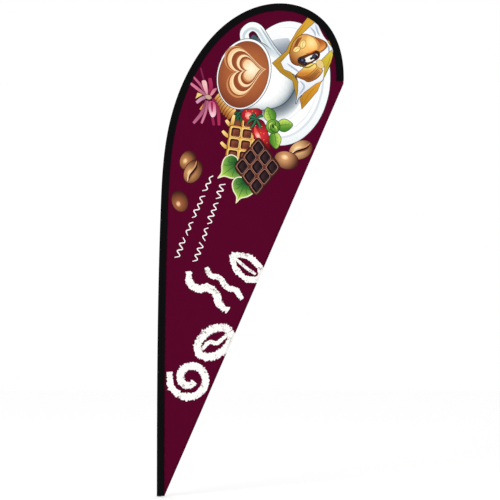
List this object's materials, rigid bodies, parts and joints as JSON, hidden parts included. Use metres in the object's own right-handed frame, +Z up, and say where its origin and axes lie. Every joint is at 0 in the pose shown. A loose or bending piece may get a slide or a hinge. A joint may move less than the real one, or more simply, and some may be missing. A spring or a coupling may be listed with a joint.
{
  "type": "teardrop flag",
  "caption": "Teardrop advertising flag: printed cloth panel in a black pole sleeve on a bent sectioned pole that turns on a ball-bearing swivel spindle.",
  "frame": {"origin": "centre of the flat bottom face of the swivel spindle's foot, on the pole's axis", "axes": "+Z up along the pole, +X from the pole towards the flag's trailing edge, -Y the printed front"},
  "size_m": [0.9117, 0.0446, 2.4033],
  "materials": {
    "steel": "ground",
    "nylon": "moulded",
    "glassfibre": "pultruded, satin",
    "aluminium": "satin",
    "sleeve_cloth": "plain woven, matt",
    "print_cloth": "warp-knit polyester, dye print",
    "webbing": "ribbed webbing",
    "hem_cloth": "folded and stitched"
  },
  "bodies": {
    "spindle": {"swivel_spindle": "steel", "lower_race": "steel"},
    "bearing": {"ball_cage": "nylon", "bearing_ball_1": "steel", "bearing_ball_2": "steel", "bearing_ball_3": "steel", "bearing_ball_4": "steel", "bearing_ball_5": "steel", "bearing_ball_6": "steel"},
    "flag": {"base_tube": "glassfibre", "ferrule_ring_1": "aluminium", "ferrule_ring_2": "aluminium", "ferrule_ring_3": "aluminium", "ferrule_ring_4": "aluminium", "foot_bush": "nylon", "lower_tube": "glassfibre", "middle_tube": "glassfibre", "mouth_binding": "webbing", "pole_sleeve": "sleeve_cloth", "printed_panel": "print_cloth", "tension_strap": "webbing", "tip_cap": "nylon", "tip_pocket": "webbing", "tip_rod": "glassfibre", "top_bush": "nylon", "trailing_hem": "hem_cloth", "upper_race": "steel", "upper_tube": "glassfibre"},
    "collar": {"tension_collar": "nylon", "collar_pin": "steel", "grub_screw": "steel"}
  },
  "joints": [
    {"name": "wind_swivel", "type": "hinge", "parent": "spindle", "child": "flag", "pos_m": [0, 0, 0], "axis": [0, 0, 1], "continuous": true},
    {"name": "cage_spin", "type": "hinge", "parent": "spindle", "child": "bearing", "pos_m": [0, 0, 0.0074], "axis": [0, 0, 1], "continuous": true},
    {"name": "collar_slide", "type": "slide", "parent": "flag", "child": "collar", "axis": [0, 0, 1], "range_m": [0, 0.015]}
  ],
  "couplings": [
    {"joint": "cage_spin", "follows": "wind_swivel", "ratio": 0.5}
  ]
}
